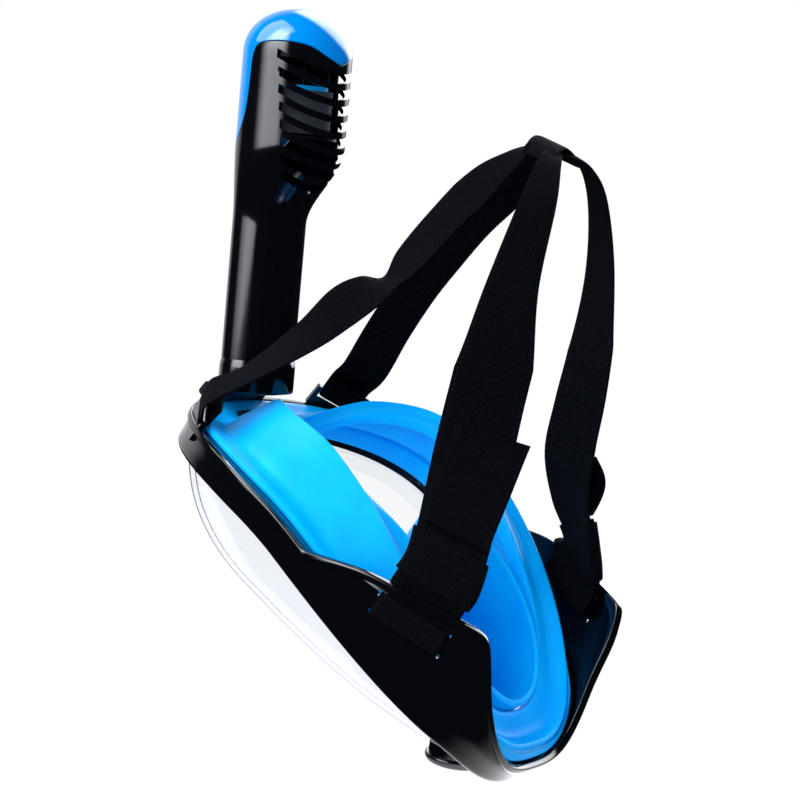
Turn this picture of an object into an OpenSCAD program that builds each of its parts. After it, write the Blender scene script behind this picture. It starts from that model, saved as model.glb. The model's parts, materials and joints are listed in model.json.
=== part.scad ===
// Full-face snorkel mask in its swimming posture: snorkel upright, lens facing down and forward (-Y).
// X is the wearer's left. The origin is the centre of the face opening.
// Mask pieces are drawn in the face frame (x across, y back towards the head, z up the face) and
// pitched; snorkel pieces are drawn in the snorkel frame (z along the tube) and leaned back.

/* [Face frame] */
// Width of the frame over its side bands
frame_w = 184; // [180:1:188]
// Height of the frame from chin to brow
frame_h = 274; // [270:1:278]
// Height of the round brow part of the outline
brow_h = 92; // [88:1:96]
// Depth of the side band from the lens to the skirt
band_d = 18.5; // [17.5:0.5:19.5]
// Wall thickness of the frame
wall = 3; // [2.5:0.25:3.25]
// How far the strap wings bow outwards
wing_bulge = 5; // [4:0.5:6]
// Tilt of the face plane in the swimming posture
pitch = 45; // [43:1:47]

/* [Lens] */
// Thickness of the clear lens
lens_t = 2.2; // [2:0.1:2.4]
// How far the lens stands in front of the origin
lens_reach = 23; // [21:1:26]

/* [Skirt] */
// Thickness of the silicone skirt
skirt_t = 2.8; // [2.4:0.2:3]
// Depth of the skirt behind the origin at the temples
skirt_d = 80; // [76:1:82]

/* [Snorkel] */
// Width of the tube across the face
tube_w = 46; // [44:1:47]
// Depth of the tube from front to back
tube_d = 34; // [32:1:35]
// Visible length of the tube and head above the socket
snorkel_l = 200; // [190:1:210]
// Diameter of the round head
head_w = 60; // [58:1:61]
// Lean of the tube behind the vertical
lean = 6.2; // [5:0.2:8]

/* [Straps] */
// Width of the lower straps
strap_w = 40; // [36:1:41]
// Width of the upper straps
upper_w = 26; // [22:1:28]
// Thickness of the webbing
web = 1.8; // [1.6:0.1:2]

/* [Valves] */
// Diameter of the drain valve at the chin
drain_d = 26; // [24:1:27]
// Diameter of each inhale valve
inhale_d = 16; // [14:1:16]
// Lift of the valve flaps
flap_lift = 1.2; // [0.8:0.1:1.4]

/* [Hidden] */

black = [0.03, 0.03, 0.035];
navy = [0.02, 0.03, 0.06];
blue = [0.0, 0.55, 0.95];
clear = [0.85, 0.88, 0.98, 0.35];
gap = 0.25;                             // fit between neighbouring pieces
rim_top = frame_h / 2;
side_z = rim_top - brow_h;              // height of the widest point
chin_h = frame_h - brow_h;              // drop from the widest point to the chin
waist_z = 20;                           // height where the rim lies furthest back
lip_n = 6;                              // front lip, inwards from the outline
lip_d = 3.5;                            // front lip, thickness
left = 1;
right = -1;

// ---- general helpers ----
function mix(a, b, t) = a + (b - a) * t;
function unit(v) = v / norm(v);
function smooth(t) = let (u = min(1, max(0, t))) u * u * (3 - 2 * u);
function soft_min(a, b, k) = -k * ln(exp(-a / k) + exp(-b / k));

// Closed skin over rings of equal point counts; looped joins the last ring to the first.
module skin(rings, looped = false) {
  n = len(rings[0]);
  m = len(rings);
  spans = looped ? m : m - 1;
  sides = [for (i = [0:spans - 1], j = [0:n - 1], k = [0, 1])
    let (a = i * n + j, b = i * n + (j + 1) % n,
         c = ((i + 1) % m) * n + (j + 1) % n, d = ((i + 1) % m) * n + j)
    k == 0 ? [a, b, c] : [a, c, d]];
  caps = looped ? [] : [[for (j = [n - 1:-1:0]) j], [for (j = [0:n - 1]) (m - 1) * n + j]];
  polyhedron(points = [for (r = rings, p = r) p], faces = concat(sides, caps), convexity = 8);
}

module on_face() rotate([pitch, 0, 0]) children();
module on_side(s) {
  if (s > 0) children();
  else mirror([1, 0, 0]) children();
}

// ---- outline of the mask, in the face frame ----
function brow(a) = sin(a) > 0;
function rim_z(a, n = 0) = side_z + ((brow(a) ? brow_h : chin_h) + n) * sin(a);
function rim_x(a, n = 0) = sign(cos(a)) * (frame_w / 2 + n) * pow(abs(cos(a)), brow(a) ? 1 : 0.72);
function rim(a, n, y) = [rim_x(a, n), y, rim_z(a, n)];
// Angles round the outline, closer together over the strap wings and round the chin
half_turn = concat([-90, -88.5, -86, -82, -77], [for (a = [-72:2.4:-4]) a], [for (a = [3:8.7:85]) a], [90]);
round_the_rim = concat(half_turn, [for (i = [len(half_turn) - 2:-1:1]) 180 - half_turn[i]]);
wide_turn = [for (a = [0:5:355]) a];

// Front edge, band and wing of the frame at height z
function front(z) = 25.5 - (z > waist_z
  ? 36 * pow((z - waist_z) / (rim_top - waist_z), 2)
  : 13 * pow((waist_z - z) / (rim_top + waist_z), 1.3) + 7 * pow(max(0, (-108 - z) / 29), 2));
function band(z) = band_d - 5.5 * pow(max(0, (-90 - z) / 47), 2);
function rear(z) = front(z) + band(z);
function wing(z) = soft_min(soft_min(45 + 0.78 * (4 - z), 68.5 + 0.27 * (-28 - z), 2.5),
                            20 + 1.5 * (z + rim_top), 2.5);
function back(z) = max(rear(z) + 2, wing(z));
function wing_n(y, z) = let (u = min(1, max(0, (y - rear(z)) / 42)))
  3.5 + 4 * wing_bulge * mix(-0.5, 1, smooth((z + 120) / 45)) * u * (1 - u);

wing_steps = 4;
function frame_section(a) = let (z = rim_z(a), f = front(z), r = rear(z), b = back(z)) concat(
  [[-lip_n, f], [0, f - 0.5], [1.5, f + lip_d], [2.5, mix(f, r, 0.65)]],
  [for (i = [0:wing_steps]) let (y = mix(r, b, i / wing_steps)) [wing_n(y, z), y]],
  [for (i = [wing_steps:-1:0]) let (y = mix(r, b, i / wing_steps)) [wing_n(y, z) - wall, y]],
  [[-0.5, mix(f, r, 0.65)], [-1.5, f + lip_d], [-lip_n, f + lip_d]]);

module swept(angles, sections, looped = true)
  skin([for (i = [0:len(angles) - 1]) let (s = sections[i])
    [for (j = [len(s) - 1:-1:0]) rim(angles[i], s[j][0], s[j][1])]], looped);

// ---- snorkel frame: z along the tube, origin at the mouth of the socket ----
mouth = [0, -71.5, 117.2];
socket_floor = -8;                      // underside of the socket
socket_top = 12;
port_from = [0, 24, 126];               // air port, in the face frame
port_to = [0, 3, 110];
module on_snorkel() translate(mouth) rotate([-lean, 0, 0]) children();

// Flat-sided oval prism, w across and d deep
module oval(w, d, h) {
  for (s = [left, right]) translate([s * (w - d) / 2, 0, 0]) cylinder(d = d, h = h, $fn = 64);
  translate([-(w - d) / 2, -d / 2, 0]) cube([w - d, d, h]);
}

module port_prism(w, d, from, to) {
  run = to - from;
  translate(from) rotate([90 - atan2(run[2], -run[1]), 0, 0]) oval(w, d, norm(run));
}

// ---- frame ----
bar_w = 9;                              // bar between the two strap slots of a wing
slot_w = 3.2;
slot_l = strap_w + 3.5;
module strap_slots() translate(mix(bar_high, bar_low, 0.5)) rotate([-atan2(w_dir[1], w_dir[2]), 0, 0])
  for (s = [left, right]) translate([0, s * (bar_w + slot_w) / 2, 0])
    cube([40, slot_w, slot_l], center = true);

// Tab behind the brow that holds an upper strap: x along the rim, y back, z outwards
tab_turn = 47;
tab_l = 11.5;
tab_bar = 3;
tab_ear = 4;                            // material beside the tab's slot
tab_hole = 3.6;
function tab_at() = let (z = rim_z(tab_turn)) rim(tab_turn, 2, rear(z) + 1);
module on_tab() translate(tab_at()) rotate([0, 90 - tab_turn, 0]) children();
module anchor_tab() on_tab() difference() {
  translate([-upper_w / 2 - tab_ear, 0, -wall / 2]) cube([upper_w + 2 * tab_ear, tab_l, wall]);
  translate([-upper_w / 2 - 1, tab_l - tab_bar - tab_hole, -wall]) cube([upper_w + 2, tab_hole, 2 * wall]);
}

module frame() color(black) on_face() {
  difference() {
    swept(round_the_rim, [for (a = round_the_rim) frame_section(a)]);
    for (s = [left, right]) on_side(s) strap_slots();
  }
  for (s = [left, right]) on_side(s) anchor_tab();
}

// ---- lens ----
lens_mid = 10;                          // height of the lens pole
function lens_front(z) = -lens_reach - 0.12 * z;
// Dome point at share t of the way from the pole to the rim, n inside the outline, d behind the face
function dome(a, t, n, d) = let (e = rim(a, n, 0), x = t * e[0], z = mix(lens_mid, e[2], t),
                                 f = lens_front(z))
  [x, d + mix(f, front(rim_z(a)), pow(t, 5)), z];
dome_steps = [0.04, 0.25, 0.45, 0.6, 0.72, 0.81, 0.88, 0.94, 1];
module lens() color(clear) on_face() difference() {
  skin(concat(
    [for (t = dome_steps) [for (a = wide_turn) dome(a, t, -lip_n - 1, 0)]],
    [for (p = [[-lip_n - 0.4, lip_d + gap], [-2.2, lip_d + gap], [-2.2, lip_d + gap + lens_t + 0.3],
               [-lip_n - 3, lip_d + gap + lens_t + 0.3]])
      [for (a = wide_turn) rim(a, p[0], front(rim_z(a)) + p[1])]],
    [for (i = [len(dome_steps) - 1:-1:0])
      [for (a = wide_turn) dome(a, dome_steps[i], -lip_n - 3.4, lens_t)]]));
  at_drain() translate([0, 0, -30]) cylinder(d = drain_d + 2 * gap + 5, h = 60, $fn = 64);
}

// ---- skirt and its clamp ring ----
seat_d = lip_d + gap + lens_t + 0.3 + gap;   // face of the lens flange
clamp_d = 2;
module clamp_ring() color(black) on_face()
  swept(wide_turn, [for (a = wide_turn) let (f = front(rim_z(a)) + seat_d + 3 + gap)
    [[-6, f], [-2, f], [-2, f + clamp_d], [-6, f + clamp_d]]]);

// Height of the sealing edge over the face plane, and how far it lies inside the outline
function crest_y(z) = let (f = front(z) + band(z) + 9) max(f, skirt_d -
  (z > 35 ? 28 * pow((z - 35) / 80, 2) : 52 * pow((35 - z) / 172, 2.1)));
function crest_n(a) = let (z = rim_z(a))
  (z > 40 ? -24 : -24 + 20 * pow((40 - z) / 177, 1.5)) - 8 * exp(-pow((a - 90) / 25, 2));
function flange_w(z) = mix(7, 21, smooth((30 - z) / 90));
function skirt_section(a) = let (
    z = rim_z(a), f = front(z), b = f + band(z), c = crest_n(a), y = crest_y(z), w = flange_w(z),
    v = c / 2 - 2, tip = y + mix(-5, 3, smooth((30 - z) / 90)), sag = mix(0, 4, smooth((30 - z) / 90)),
    t = skirt_t)
  [[-2.2, f + seat_d], [-2.2, f + seat_d + 3], [-6.8, f + seat_d + 3], [-6.8, b - 1.5],
   [-2.6, b + 1.6], [-1.8, b + 3.2], [-3.5, b + 5.5], [v, b + 7.5], [mix(v, c, 0.5), mix(b + 7.5, y, 0.5)],
   [c, y - 1], [c - 2.5, y + 1], [c - w / 2, mix(y, tip, 0.5) - sag], [c - w, tip],
   [c - w - 2.2, tip - 1.2], [c - w - 3.2, tip - 7], [c - w - 0.8, tip - 7], [c - w + 0.4, tip - 3.2],
   [c - w / 2, mix(y, tip, 0.5) - sag - t], [c - 4.5, y - t - 0.4], [mix(v, c, 0.5) - t, mix(b + 5, y - t - 0.4, 0.5)],
   [v - t, b + 5], [-6.5, b + 3], [-9.6, b - 3], [-9.6, f + seat_d]];
module skirt() color(blue) on_face() difference() {
  swept(wide_turn, [for (a = wide_turn) skirt_section(a)]);
  port_prism(26 + 2 * gap, 9 + 2 * gap, port_from, port_to);
}

// ---- nose pocket: cup over nose and mouth ----
pocket_mid = -54;
pocket_w = 39;
pocket_h = 57;
pocket_floor = -2;
function pocket_y(z) = crest_y(z) - 7;
// Egg-shaped loop point at share t of full size
function pocket(a, t, y, inset = 0) = let (w = pocket_w * t - inset, h = pocket_h * t - inset)
  [w * cos(a) * (1 - 0.12 * sin(a)), y, pocket_mid + h * sin(a)];
function pocket_rim(a, inset) = let (p = pocket(a, 1, 0, inset)) [p[0], pocket_y(p[2]), p[2]];
module nose_pocket() color(blue) on_face() difference() {
  skin(concat(
    [for (t = [0.1, 0.5, 0.78]) [for (a = wide_turn) pocket(a, t, pocket_floor)]],
    [for (u = [0.25, 0.5, 0.75, 1]) [for (a = wide_turn)
      mix(pocket(a, 0.86, pocket_floor + 4), pocket_rim(a, 0), u)]],
    [for (u = [1, 0.75, 0.5, 0.25]) [for (a = wide_turn)
      mix(pocket(a, 0.86, pocket_floor + 4, skirt_t), pocket_rim(a, skirt_t), u)]],
    [for (t = [0.78, 0.5, 0.1]) [for (a = wide_turn) pocket(a, t, pocket_floor + skirt_t, 1)]]));
  for (s = [left, right]) on_side(s) at_inhale() cylinder(d = inhale_d + 2 * gap, h = 20, center = true, $fn = 64);
  at_drain() translate([0, 0, -40]) cylinder(d = drain_d - 6 + 2 * gap, h = 40, $fn = 64);
}

// ---- inhale valves, z pointing into the pocket ----
inhale_at = [14, pocket_floor, -28];
module at_inhale() translate(inhale_at) rotate([-90, 0, 0]) children();
module valve_spokes(d, h) {
  for (i = [0:2]) rotate([0, 0, 60 * i]) translate([-d / 2, -0.8, 0]) cube([d, 1.6, h]);
}
module inhale_seat() at_inhale() {
  difference() {
    union() {
      translate([0, 0, -2.25]) cylinder(d = inhale_d + 4, h = 2, $fn = 64);
      translate([0, 0, -2.25]) cylinder(d = inhale_d, h = 5.4, $fn = 64);
    }
    translate([0, 0, -3]) cylinder(d = inhale_d - 3, h = 8, $fn = 64);
  }
  translate([0, 0, 1]) intersection() {
    valve_spokes(inhale_d - 2, 1.8);
    cylinder(d = inhale_d - 2, h = 1.8, $fn = 64);
  }
  cylinder(d = 2.4, h = 5.5, $fn = 32);
}
module flap_disc(d, bore) difference() {
  cylinder(d = d, h = 0.8, $fn = 64);
  translate([0, 0, -1]) cylinder(d = bore, h = 3, $fn = 32);
}
module inhale_flap() at_inhale() translate([0, 0, 3.2]) flap_disc(inhale_d - 0.6, 2.5);

// ---- exhale ducts along the lens rim, open towards the lens ----
duct_turn = [for (a = [-24:6:66]) a];
module air_duct() swept(duct_turn, [for (a = duct_turn) let (f = front(rim_z(a)))
  [[-13, f + 2], [-13, f + 7], [-22, f + 6], [-22, f - 3], [-20.8, f - 2.6], [-20.8, f + 4.8],
   [-14.2, f + 5.6], [-14.2, f + 2.2]]], false);

// ---- drain valve at the chin, z pointing out of the mask ----
drain_at = [0, -10, -101];
drain_tilt = 125;
drain_pin = 4;
module at_drain() translate(drain_at) rotate([drain_tilt, 0, 0]) children();
module drain_housing() color(black) on_face() at_drain() {
  difference() {
    union() {
      translate([0, 0, -12]) cylinder(d = drain_d - 6, h = 20, $fn = 64);
      translate([0, 0, -2]) cylinder(d = drain_d + 4.5, h = 7, $fn = 64);
    }
    translate([0, 0, -13]) cylinder(d = drain_d - 10, h = 30, $fn = 64);
    translate([0, 0, 3]) cylinder(d = drain_d, h = 10, $fn = 64);
  }
  translate([0, 0, 1]) intersection() {
    valve_spokes(drain_d - 8, 1.7);
    cylinder(d = drain_d - 8, h = 1.7, $fn = 64);
  }
  translate([0, 0, 0.6]) cylinder(d = drain_pin, h = 4.4, $fn = 32);
}
module drain_flap() color(navy) on_face() at_drain() translate([0, 0, 3.05]) flap_disc(drain_d - 1, drain_pin + 0.2);
module drain_cover() color(black) on_face() at_drain() difference() {
  translate([0, 0, 5.2]) cylinder(d = drain_d + 8, h = 5, $fn = 96);
  translate([0, 0, 5]) cylinder(d = drain_d, h = 3.2, $fn = 64);
  for (i = [0:5]) rotate([0, 0, 60 * i + 30]) translate([0, -3, 5]) cube([30, 6, 1.8]);
}

// ---- snorkel socket on the brow ----
plug_w = tube_w - 5;
plug_d = tube_d - 5;
socket_r = tube_d / 2 + 1;              // radius of the socket's round ends
exhale_x = 14;
exhale_bore = 6;
button_h = 8;
button_w = 4.5;
button_turn = 25;                       // buttons sit a little behind the sides
module at_button() translate([tube_w / 2 + 1 - socket_r, 0, -1]) rotate([0, 0, button_turn])
  rotate([0, 90, 0]) children();
module snorkel_socket() color(black) difference() {
  union() {
    on_snorkel() translate([0, 0, socket_floor]) oval(tube_w + 2, tube_d + 2, socket_top - socket_floor);
    on_face() translate([-18, rear(rim_top) + 3.9, rim_top + 0.5]) cube([36, 8, 7]);
  }
  on_snorkel() translate([0, 0, socket_floor + 2.5]) oval(plug_w + 0.6, plug_d + 0.6, 40);
  for (s = [left, right]) on_snorkel() {
    translate([s * exhale_x, 0, socket_floor - 1]) cylinder(d = exhale_bore, h = 5, $fn = 48);
    on_side(s) at_button() translate([0, 0, 10]) oval(button_h + 0.4, button_w + 0.4, 15);
  }
  on_face() port_prism(18, 5, port_from, port_to);
}
module air_port_sleeve() color(black) on_face() difference() {
  port_prism(26, 9, mix(port_from, port_to, 0.28), port_to);
  port_prism(22, 5, port_from, mix(port_from, port_to, 1.2));
}
module exhale_flap(s) color(navy) on_snorkel() translate([s * exhale_x, 0, socket_floor + 2.55])
  cylinder(d = exhale_bore + 3, h = 0.8, $fn = 48);
module release_button(s) color(black) on_snorkel() on_side(s) at_button() difference() {
  translate([0, 0, socket_r - 1.6]) oval(button_h, button_w, 2.2);
  translate([-button_h / 2 + 1.5, -0.4, socket_r]) cube([button_h - 3, 0.8, 2]);
}

// ---- snorkel tube and round head ----
tube_wall = 2.5;
head_y = 10;                            // head sits behind the tube axis
flare_from = 90;
flare_to = 134;
dome_h = 26;
top_z = snorkel_l + 10;
shell_foot = socket_top + gap;
function head_share(z) = smooth((z - flare_from) / (flare_to - flare_from));
function dome_share(z) = z < top_z - dome_h ? 1 : sqrt(1 - pow((z - top_z + dome_h) / dome_h, 2.15));
// Outline of the snorkel at height z, shrunk by inset
function shell_ring(z, inset) = let (
    u = head_share(z), k = dome_share(top_z - dome_h + (z - top_z + dome_h) / (1 - inset / dome_h)),
    w = (mix(tube_w, head_w, u) / 2 - inset) * k, d = (mix(tube_d, head_w, u) / 2 - inset) * k,
    e = mix(0.78, 0.92, u))
  [for (i = [47:-1:0]) let (a = i * 7.5)
    [w * sign(cos(a)) * pow(abs(cos(a)), e), head_y * u + d * sign(sin(a)) * pow(abs(sin(a)), e), z]];
function shell_z(from) = concat([from, 50], [for (i = [0:8]) mix(flare_from, flare_to, i / 8)], [160],
                 [for (i = [0:6]) top_z - dome_h + dome_h * sin(13.5 * i)]);
module body_solid(inset, from) skin([for (z = shell_z(from))
  shell_ring(z > top_z - dome_h ? top_z - dome_h + (z - top_z + dome_h) * (1 - inset / dome_h) : z, inset)]);
module shell() difference() {
  body_solid(0, shell_foot);
  body_solid(tube_wall, shell_foot - 1);
}

// Region that belongs to the front cover: a pointed front face and the whole cap
seam_y = head_y - 10.6;
cap_z = top_z - dome_h + 3;
module cover_region(grow = 0) {
  rotate([90, 0, 0]) translate([0, 0, -seam_y - grow]) linear_extrude(60)
    polygon([[-40, 144.7 - grow], [-27, 134.7 - grow], [-16, 117.7 - grow], [0, 106.3 - grow], [16, 117.7 - grow],
             [27, 134.7 - grow], [40, 144.7 - grow], [40, cap_z + 1], [-40, cap_z + 1]]);
  translate([-50, -50, cap_z - grow]) cube([100, 100, 60]);
}
grille_z = 111;                         // lowest slot
grille_step = 8.8;
grille_h = 5;
module grille() {
  for (i = [0:7]) translate([-32, head_y + 11, grille_z + grille_step * i]) rotate([-18, 0, 0])
    cube([64, 60, grille_h]);
}
module snorkel_tube() color(black) on_snorkel() {
  difference() {
    shell();
    cover_region(gap);
    grille();
  }
  difference() {
    union() {
      translate([0, 0, -3]) oval(plug_w, plug_d, shell_foot + 5);
      translate([0, 0, shell_foot]) oval(tube_w - 2, tube_d - 2, 2);
    }
    translate([0, 0, -4]) oval(plug_w - 4, plug_d - 4, 40);
    translate([0, 0, 2]) difference() {
      oval(plug_w + 2, plug_d + 2, 2);
      oval(plug_w - 2, plug_d - 2, 2);
    }
  }
}
module socket_seal() color(navy) on_snorkel() translate([0, 0, 2.1]) difference() {
  oval(plug_w + 0.4, plug_d + 0.4, 1.8);
  translate([0, 0, -1]) oval(plug_w - 1.8, plug_d - 1.8, 4);
}
module snorkel_front_cover() color(blue) on_snorkel() intersection() {
  shell();
  cover_region();
}
module channel_divider() color(black) on_snorkel() {
  for (s = [left, right]) translate([s * 9 - 0.6, -12, socket_top + 9]) cube([1.2, 24, 66]);
  translate([-9, -0.6, socket_top + 9]) cube([18, 1.2, 8]);
}

// ---- float valve inside the head, z along the tube ----
chamber_y = head_y + 3;
chamber_z = 138;
seat_z = 182;
float_h = 24;
float_travel = 14;
module in_chamber(z) on_snorkel() translate([0, chamber_y, z]) children();
module float_chamber() color(black) in_chamber(chamber_z) {
  difference() {
    cylinder(d = 46, h = seat_z - chamber_z - gap, $fn = 96);
    translate([0, 0, 2]) cylinder(d = 43, h = 60, $fn = 96);
    translate([-30, 4, 2]) cube([60, 30, 60]);
  }
  cylinder(d = 4, h = 40, $fn = 48);
}
module valve_seat() color(black) in_chamber(seat_z) difference() {
  translate([0, head_y - chamber_y, 0]) cylinder(d = head_w - 2 * tube_wall - 0.4, h = 2.5, $fn = 96);
  translate([0, 0, -1]) cylinder(d = 24, h = 5, $fn = 64);
  translate([-12, -40, -1]) cube([24, 20, 5]);
}
module float() color(navy) in_chamber(chamber_z + 3) difference() {
  cylinder(d = 38, h = float_h, $fn = 96);
  translate([0, 0, -1]) cylinder(d = 4.5, h = float_h + 2, $fn = 48);
}
module float_seal() color(blue) in_chamber(chamber_z + 3.05 + float_h) difference() {
  cylinder(d = 32, h = 2.5, $fn = 96);
  translate([0, 0, -1]) cylinder(d = 4.5, h = 5, $fn = 48);
}

// ---- webbing ----
function posed(p) = [p[0], p[1] * cos(pitch) - p[2] * sin(pitch), p[1] * sin(pitch) + p[2] * cos(pitch)];
function knot(p, q, r, s, t) = 0.5 * (2 * q + (r - p) * t + (2 * p - 5 * q + 4 * r - s) * t * t
  + (3 * q - p - 3 * r + s) * t * t * t);
// Smooth run through stations [centre, width direction], k steps between each pair
function run(st, k) = [for (i = [0:len(st) - 2], j = [0:k - 1]) let (
    p = st[max(0, i - 1)], q = st[i], r = st[i + 1], s = st[min(len(st) - 1, i + 2)], t = j / k)
  [knot(p[0], q[0], r[0], s[0], t), unit(knot(p[1], q[1], r[1], s[1], t))]];
function along(st, i) = unit(st[min(len(st) - 1, i + 1)][0] - st[max(0, i - 1)][0]);
function face_of(st, i) = unit(cross(st[i][1], along(st, i)));
function shifted(st, d) = [for (i = [0:len(st) - 1]) [st[i][0] + d * face_of(st, i), st[i][1]]];
// Webbing through the stations; its width is gathered to the given share over the last stations
module ribbon(st, w, t, gathered = 1, over = 1) skin([for (i = [0:len(st) - 1]) let (c = st[i][0],
  share = mix(gathered, 1, pow(min(1, (len(st) - 1 - i) / over), 1.6)),
  a = st[i][1] * w / 2 * share, n = face_of(st, i) * t / 2) [c - a - n, c + a - n, c + a + n, c - a + n]]);

// Crown of the harness, behind and above the head
crown = [0, 120, 243];
crown_tilt = 30;

// Wing frame at the slots: u out of the wing, v towards its rear edge
function wing_point(z, y) = rim(asin((z - side_z) / chin_h), wing_n(y, z), y);
bar_high = wing_point(-38, 57.4);
bar_low = wing_point(-80, 67);
w_dir = unit(bar_high - bar_low);
v_dir = unit(cross(w_dir, [1, 0.05, -0.26]));
u_dir = cross(v_dir, w_dir);
function at_wing(u, v) = [posed(mix(bar_high, bar_low, 0.5) + u * u_dir + v * v_dir), -posed(w_dir)];

// Lower strap: main layer from the wing up to the crown
lower_line = run([
  at_wing(-8, 4), at_wing(-8.6, 9), at_wing(-11.4, 17), at_wing(-15, 30),
  [[60, 104, 58], unit([-0.35, 0.86, -0.4])], [[52, 111, 102], unit([-0.42, 0.86, -0.3])],
  [[47.5, 121, 152], unit([-0.45, 0.84, -0.25])], [[39, 129, 194], unit([-0.5, 0.8, -0.28])],
  [[28, 133, 221], unit([-0.45, 0.83, -0.32])], [crown + [14, 10, -6.5], unit([-0.25, 0.86, -0.45])],
  [crown + [1, 5, -2.7], unit([-0.05, 0.86, -0.5])]], 5);
lower_in = [at_wing(1.3, -6), at_wing(-2, -6.2), at_wing(-5.2, -5.4), at_wing(-7.4, -2.4)];
lower_out = [at_wing(-4, 6.4), at_wing(-1, 6.1), at_wing(1.2, 6), at_wing(3.1, 4), at_wing(3.5, 0), at_wing(3.1, -4)];
sleeve_from = 11;                       // stations of the keeper sleeve on the main layer
sleeve_to = 17;
tab_from = sleeve_to + 1;               // the tab peels from its first station
tab_to = 24;
layer = web + 0.4;
function span(list, from, to) = [for (i = [from:to]) list[i]];
function backwards(list) = [for (i = [len(list) - 1:-1:0]) list[i]];
returned = backwards(span(shifted(lower_line, layer), 6, sleeve_to));
module lower_strap() color(black)
  ribbon(concat(returned, [at_wing(-6.1, 8.4)], lower_out, lower_in, lower_line),
         strap_w, web, 0.25, 21);
module hook_tab() color(black)
  ribbon(span(shifted(lower_line, layer), tab_from, tab_to), strap_w - 1, web);
module keeper_sleeve() color(black) difference() {
  ribbon(span(shifted(lower_line, layer / 2), sleeve_from, sleeve_to), strap_w + 3.4, 2 * layer + 2.6);
  ribbon(span(shifted(lower_line, layer / 2), sleeve_from - 1, sleeve_to + 1), strap_w + 0.8, 2 * layer + 0.4);
}

// Upper strap: round the bar of its tab, then back to the crown
function at_tab(u, v) = [posed(tab_at() + u * [cos(tab_turn), 0, sin(tab_turn)] + v * [0, 1, 0]),
                         posed([-sin(tab_turn), 0, cos(tab_turn)])];
tab_slot = tab_l - tab_bar - 1.8;
upper_line = run([
  at_tab(2.8, tab_l), at_tab(4, tab_l + 9), [[47, -9, 140], unit([-0.45, -0.75, 0.48])],
  [[32, 17, 164], unit([-0.3, -0.65, 0.7])], [[24, 40, 178], unit([-0.55, -0.77, 0.32])],
  [[18, 64, 203], unit([-0.38, -0.84, 0.38])], [[12, 94, 229], unit([-0.36, -0.82, 0.44])],
  [crown + [8, -5, 0.5], unit([-1, 0, 0.1])]], 4);
upper_loop = [at_tab(-4, tab_l + 9), at_tab(-3.2, tab_l), at_tab(-2.4, tab_slot + 1.4), at_tab(-1, tab_slot),
              at_tab(1, tab_slot), at_tab(2.4, tab_slot + 1.4)];
module upper_strap() color(black) ribbon(concat(upper_loop, upper_line), upper_w, web, 0.5, 6);
module crown_patch() color(navy) translate(crown) rotate([-crown_tilt, 0, 0])
  translate([-9, -6, 1.5]) cube([18, 16, 1.2]);

frame();
lens();
clamp_ring();
skirt();
nose_pocket();
color(black) on_face() inhale_seat();  // inhale_seat_left
color(black) on_face() on_side(right) inhale_seat();  // inhale_seat_right
color(navy) on_face() inhale_flap();  // inhale_flap_left
color(navy) on_face() on_side(right) inhale_flap();  // inhale_flap_right
color(clear) on_face() air_duct();  // air_duct_left
color(clear) on_face() on_side(right) air_duct();  // air_duct_right
drain_housing();
drain_flap();
drain_cover();
snorkel_socket();
exhale_flap(left);  // exhale_flap_left
exhale_flap(right);  // exhale_flap_right
air_port_sleeve();
release_button(left);  // release_button_left
release_button(right);  // release_button_right
snorkel_tube();
channel_divider();
socket_seal();
snorkel_front_cover();
float_chamber();
valve_seat();
float();
float_seal();
upper_strap();  // upper_strap_left
on_side(right) upper_strap();  // upper_strap_right
lower_strap();  // lower_strap_left
on_side(right) lower_strap();  // lower_strap_right
hook_tab();  // hook_tab_left
on_side(right) hook_tab();  // hook_tab_right
keeper_sleeve();  // keeper_sleeve_left
on_side(right) keeper_sleeve();  // keeper_sleeve_right
crown_patch();
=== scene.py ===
"""Looks of the full-face snorkel mask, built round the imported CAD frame. Sizes here are millimetres."""
import json
import math

import bmesh
import bpy
import numpy as np
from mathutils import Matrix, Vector


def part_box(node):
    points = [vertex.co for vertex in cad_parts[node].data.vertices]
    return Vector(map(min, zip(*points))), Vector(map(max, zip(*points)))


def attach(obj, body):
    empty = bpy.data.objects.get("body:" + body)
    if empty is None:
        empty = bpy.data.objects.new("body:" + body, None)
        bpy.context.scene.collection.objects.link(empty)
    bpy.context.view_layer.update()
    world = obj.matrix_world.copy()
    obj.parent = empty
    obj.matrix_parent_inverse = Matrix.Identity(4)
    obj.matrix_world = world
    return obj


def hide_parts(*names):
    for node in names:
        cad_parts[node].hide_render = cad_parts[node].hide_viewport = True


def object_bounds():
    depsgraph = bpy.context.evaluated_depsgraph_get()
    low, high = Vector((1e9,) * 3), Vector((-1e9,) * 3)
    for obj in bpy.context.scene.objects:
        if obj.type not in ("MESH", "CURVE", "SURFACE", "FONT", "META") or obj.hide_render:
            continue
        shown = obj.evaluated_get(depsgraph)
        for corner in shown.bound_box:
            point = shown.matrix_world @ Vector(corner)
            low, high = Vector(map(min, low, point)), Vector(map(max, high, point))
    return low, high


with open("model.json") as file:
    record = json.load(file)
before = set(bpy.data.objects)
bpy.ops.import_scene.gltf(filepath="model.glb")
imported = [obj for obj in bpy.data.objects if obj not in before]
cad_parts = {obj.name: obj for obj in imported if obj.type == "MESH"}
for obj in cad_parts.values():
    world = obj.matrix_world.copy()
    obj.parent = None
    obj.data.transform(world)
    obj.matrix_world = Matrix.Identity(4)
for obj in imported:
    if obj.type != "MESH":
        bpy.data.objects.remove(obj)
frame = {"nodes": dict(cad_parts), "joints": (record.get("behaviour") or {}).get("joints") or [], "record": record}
cad_low, cad_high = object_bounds()
MM = 0.001
record = frame["record"]
mounts = {m["name"]: m for m in record["mounts"]}
joints = {j["name"]: j for j in frame["joints"]}
LEFT, RIGHT = 1, -1
SIDES = {"left": LEFT, "right": RIGHT}


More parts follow.
